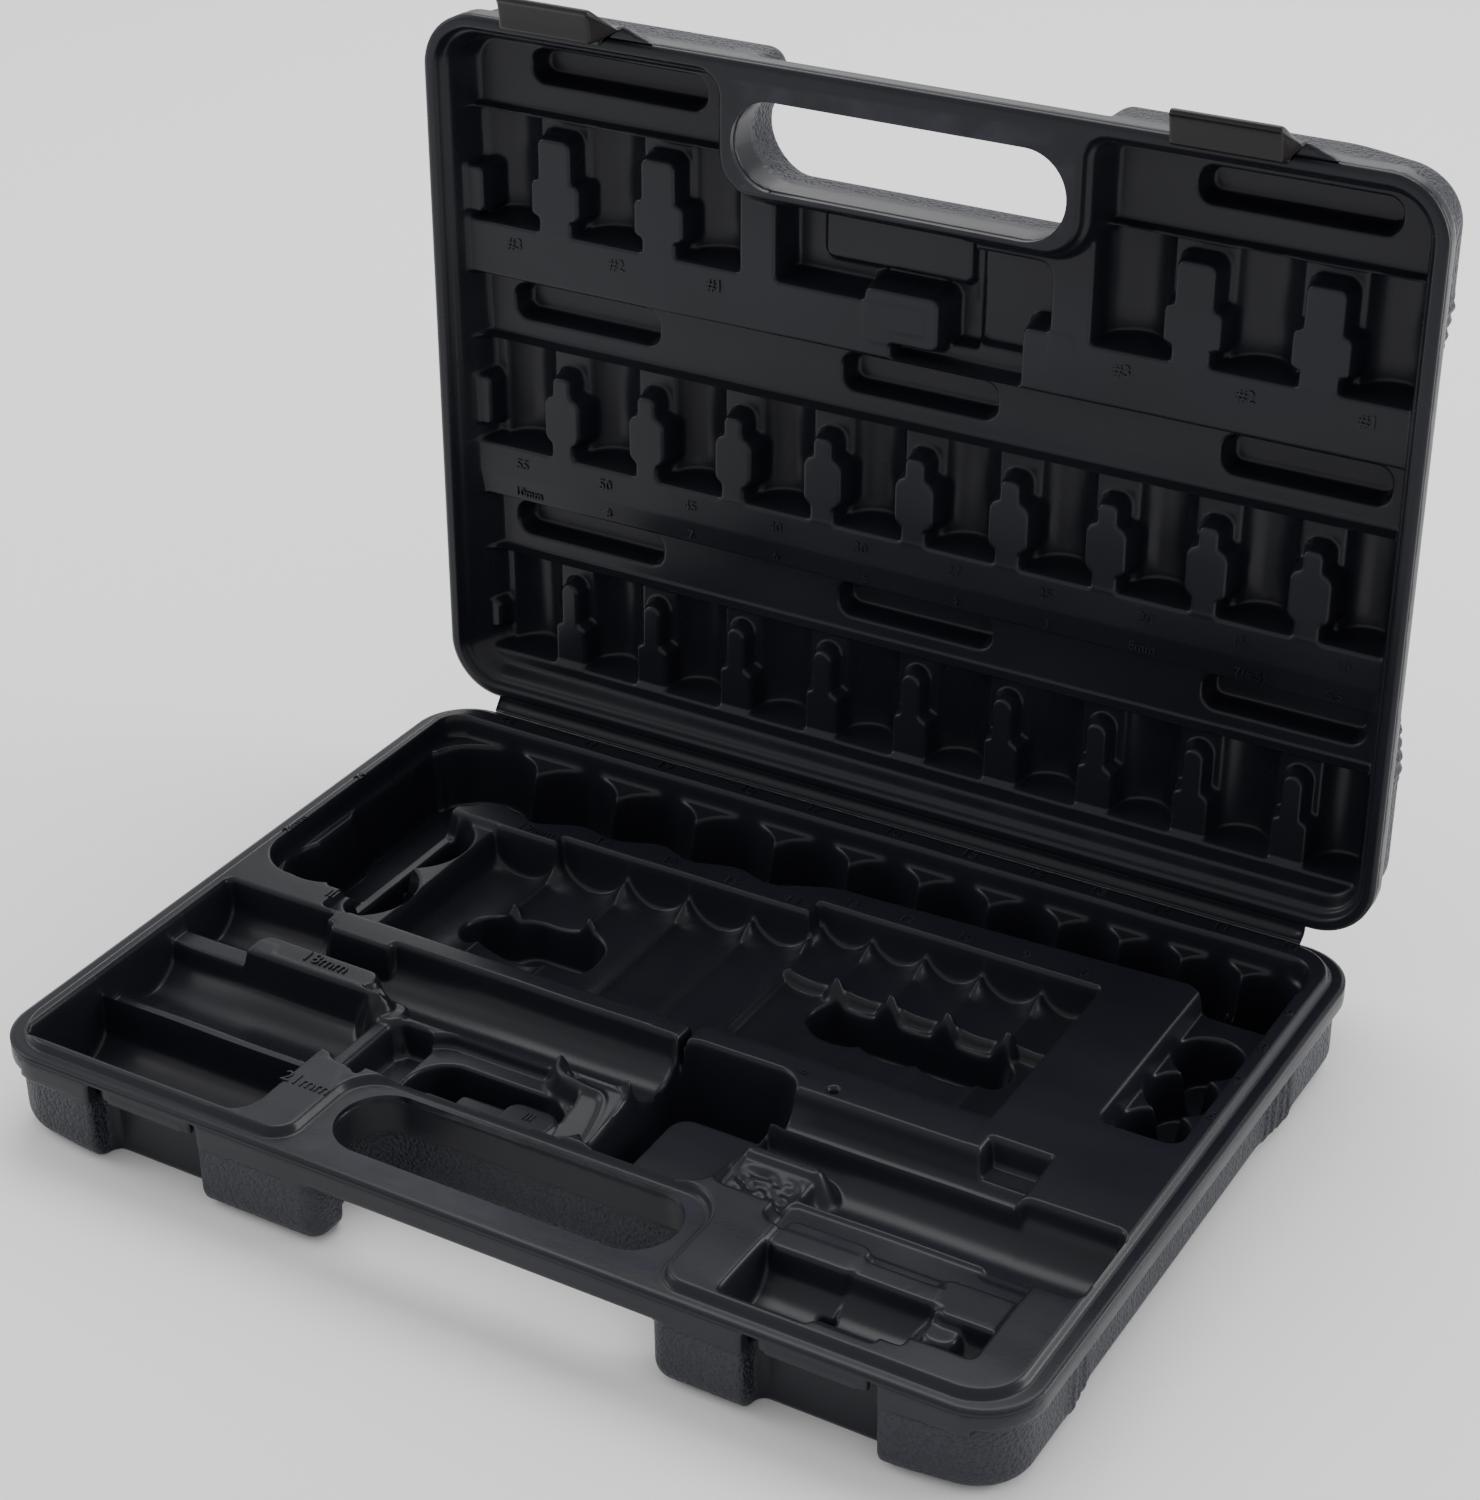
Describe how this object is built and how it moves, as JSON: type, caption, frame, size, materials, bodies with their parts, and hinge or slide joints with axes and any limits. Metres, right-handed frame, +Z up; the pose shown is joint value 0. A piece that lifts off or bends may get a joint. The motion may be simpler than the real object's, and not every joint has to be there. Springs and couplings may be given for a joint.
{
  "type": "socket wrench set case",
  "caption": "Blow-moulded carrying case for a socket and bit set: two hinged halves with moulded nests, a finger grip and two fold-over latches, standing open and empty.",
  "frame": {"origin": "middle of the base's underside, where it rests on the floor", "axes": "+X along the hinge, +Y from the grip to the hinge, +Z up; the lid stands open at 91.2 degrees"},
  "size_m": [0.39, 0.315, 0.3348],
  "materials": {
    "case_plastic": "satin, grained on the outer walls",
    "latch_plastic": "satin"
  },
  "bodies": {
    "base": {"base_shell": "case_plastic", "base_tray": "case_plastic", "hinge_film_base": "case_plastic"},
    "lid": {"lid_shell": "case_plastic", "lid_tray": "case_plastic", "hinge_film_lid": "case_plastic"},
    "latch_left": {"latch_left": "latch_plastic"},
    "latch_right": {"latch_right": "latch_plastic"}
  },
  "joints": [
    {"name": "lid_hinge", "type": "hinge", "parent": "base", "child": "lid", "pos_m": [0, 0.14205, 0.03712], "axis": [1, 0, 0], "range_deg": [-88.8, 91.2]},
    {"name": "latch_left_hinge", "type": "hinge", "parent": "lid", "child": "latch_left", "pos_m": [-0.127, 0.1448, 0.32218], "axis": [1, 0, 0], "range_deg": [-60, 38]},
    {"name": "latch_right_hinge", "type": "hinge", "parent": "lid", "child": "latch_right", "pos_m": [0.127, 0.1448, 0.32218], "axis": [1, 0, 0], "range_deg": [-60, 38]}
  ]
}
